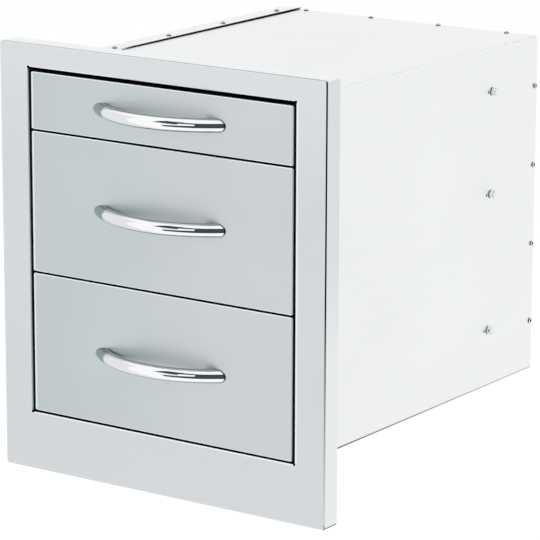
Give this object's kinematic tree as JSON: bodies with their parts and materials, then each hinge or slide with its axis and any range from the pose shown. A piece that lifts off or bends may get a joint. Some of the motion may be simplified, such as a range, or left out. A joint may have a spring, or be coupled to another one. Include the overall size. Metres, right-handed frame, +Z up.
{
  "type": "outdoor kitchen drawer unit",
  "caption": "Built-in stainless drawer unit for an outdoor kitchen: face frame, folded box, stacked drawers on ball slides and bowed bar handles.",
  "frame": {"origin": "back of the face frame, in the middle of its lower lip, where the frame meets the island's face", "axes": "+X to the right seen from the front, +Y into the box and the island, +Z up"},
  "size_m": [0.432, 0.5248, 0.484],
  "materials": {
    "face_frame": "brushed along the width, satin",
    "drawer_front": "brushed along the width, satin",
    "box_sheet": "mill finish sheet",
    "tray_sheet": "mill finish sheet",
    "handle": "mirror polished",
    "slide_members": "bright zinc plated",
    "ball_cages": "plain pressed strip with polished balls",
    "fasteners": "bright, turned"
  },
  "bodies": {
    "cabinet": {"face_frame": "face_frame", "upper_shell": "box_sheet", "lower_shell": "box_sheet", "back_panel": "box_sheet", "top_outer_rail_left": "slide_members", "top_slide_bolt_left": "fasteners", "top_outer_rail_right": "slide_members", "top_slide_bolt_right": "fasteners", "middle_outer_rail_left": "slide_members", "middle_slide_bolt_left": "fasteners", "middle_outer_rail_right": "slide_members", "middle_slide_bolt_right": "fasteners", "bottom_outer_rail_left": "slide_members", "bottom_slide_bolt_left": "fasteners", "bottom_outer_rail_right": "slide_members", "bottom_slide_bolt_right": "fasteners"},
    "top_drawer": {"top_front": "drawer_front", "top_front_liner": "tray_sheet", "top_tray": "tray_sheet", "top_handle": "handle", "top_handle_screw_left": "fasteners", "top_inner_rail_left": "slide_members", "top_handle_screw_right": "fasteners", "top_inner_rail_right": "slide_members"},
    "top_intermediate_rails": {"top_intermediate_rail_left": "slide_members", "top_intermediate_rail_right": "slide_members"},
    "top_outer_cages": {"top_outer_cage_left": "ball_cages", "top_outer_cage_right": "ball_cages"},
    "top_inner_cages": {"top_inner_cage_left": "ball_cages", "top_inner_cage_right": "ball_cages"},
    "middle_drawer": {"middle_front": "drawer_front", "middle_front_liner": "tray_sheet", "middle_tray": "tray_sheet", "middle_handle": "handle", "middle_handle_screw_left": "fasteners", "middle_inner_rail_left": "slide_members", "middle_handle_screw_right": "fasteners", "middle_inner_rail_right": "slide_members"},
    "middle_intermediate_rails": {"middle_intermediate_rail_left": "slide_members", "middle_intermediate_rail_right": "slide_members"},
    "middle_outer_cages": {"middle_outer_cage_left": "ball_cages", "middle_outer_cage_right": "ball_cages"},
    "middle_inner_cages": {"middle_inner_cage_left": "ball_cages", "middle_inner_cage_right": "ball_cages"},
    "bottom_drawer": {"bottom_front": "drawer_front", "bottom_front_liner": "tray_sheet", "bottom_tray": "tray_sheet", "bottom_handle": "handle", "bottom_handle_screw_left": "fasteners", "bottom_inner_rail_left": "slide_members", "bottom_handle_screw_right": "fasteners", "bottom_inner_rail_right": "slide_members"},
    "bottom_intermediate_rails": {"bottom_intermediate_rail_left": "slide_members", "bottom_intermediate_rail_right": "slide_members"},
    "bottom_outer_cages": {"bottom_outer_cage_left": "ball_cages", "bottom_outer_cage_right": "ball_cages"},
    "bottom_inner_cages": {"bottom_inner_cage_left": "ball_cages", "bottom_inner_cage_right": "ball_cages"}
  },
  "joints": [
    {"name": "top_drawer_slide", "type": "slide", "parent": "cabinet", "child": "top_drawer", "axis": [0, -1, 0], "range_m": [0, 0.44]},
    {"name": "top_intermediate_rails_slide", "type": "slide", "parent": "cabinet", "child": "top_intermediate_rails", "axis": [0, -1, 0], "range_m": [0, 0.22]},
    {"name": "top_outer_cages_slide", "type": "slide", "parent": "cabinet", "child": "top_outer_cages", "axis": [0, -1, 0], "range_m": [0, 0.11]},
    {"name": "top_inner_cages_slide", "type": "slide", "parent": "cabinet", "child": "top_inner_cages", "axis": [0, -1, 0], "range_m": [0, 0.33]},
    {"name": "middle_drawer_slide", "type": "slide", "parent": "cabinet", "child": "middle_drawer", "axis": [0, -1, 0], "range_m": [0, 0.44]},
    {"name": "middle_intermediate_rails_slide", "type": "slide", "parent": "cabinet", "child": "middle_intermediate_rails", "axis": [0, -1, 0], "range_m": [0, 0.22]},
    {"name": "middle_outer_cages_slide", "type": "slide", "parent": "cabinet", "child": "middle_outer_cages", "axis": [0, -1, 0], "range_m": [0, 0.11]},
    {"name": "middle_inner_cages_slide", "type": "slide", "parent": "cabinet", "child": "middle_inner_cages", "axis": [0, -1, 0], "range_m": [0, 0.33]},
    {"name": "bottom_drawer_slide", "type": "slide", "parent": "cabinet", "child": "bottom_drawer", "axis": [0, -1, 0], "range_m": [0, 0.44]},
    {"name": "bottom_intermediate_rails_slide", "type": "slide", "parent": "cabinet", "child": "bottom_intermediate_rails", "axis": [0, -1, 0], "range_m": [0, 0.22]},
    {"name": "bottom_outer_cages_slide", "type": "slide", "parent": "cabinet", "child": "bottom_outer_cages", "axis": [0, -1, 0], "range_m": [0, 0.11]},
    {"name": "bottom_inner_cages_slide", "type": "slide", "parent": "cabinet", "child": "bottom_inner_cages", "axis": [0, -1, 0], "range_m": [0, 0.33]}
  ],
  "couplings": [
    {"joint": "top_intermediate_rails_slide", "follows": "top_drawer_slide", "ratio": 0.5},
    {"joint": "top_outer_cages_slide", "follows": "top_drawer_slide", "ratio": 0.25},
    {"joint": "top_inner_cages_slide", "follows": "top_drawer_slide", "ratio": 0.75},
    {"joint": "middle_intermediate_rails_slide", "follows": "middle_drawer_slide", "ratio": 0.5},
    {"joint": "middle_outer_cages_slide", "follows": "middle_drawer_slide", "ratio": 0.25},
    {"joint": "middle_inner_cages_slide", "follows": "middle_drawer_slide", "ratio": 0.75},
    {"joint": "bottom_intermediate_rails_slide", "follows": "bottom_drawer_slide", "ratio": 0.5},
    {"joint": "bottom_outer_cages_slide", "follows": "bottom_drawer_slide", "ratio": 0.25},
    {"joint": "bottom_inner_cages_slide", "follows": "bottom_drawer_slide", "ratio": 0.75}
  ]
}
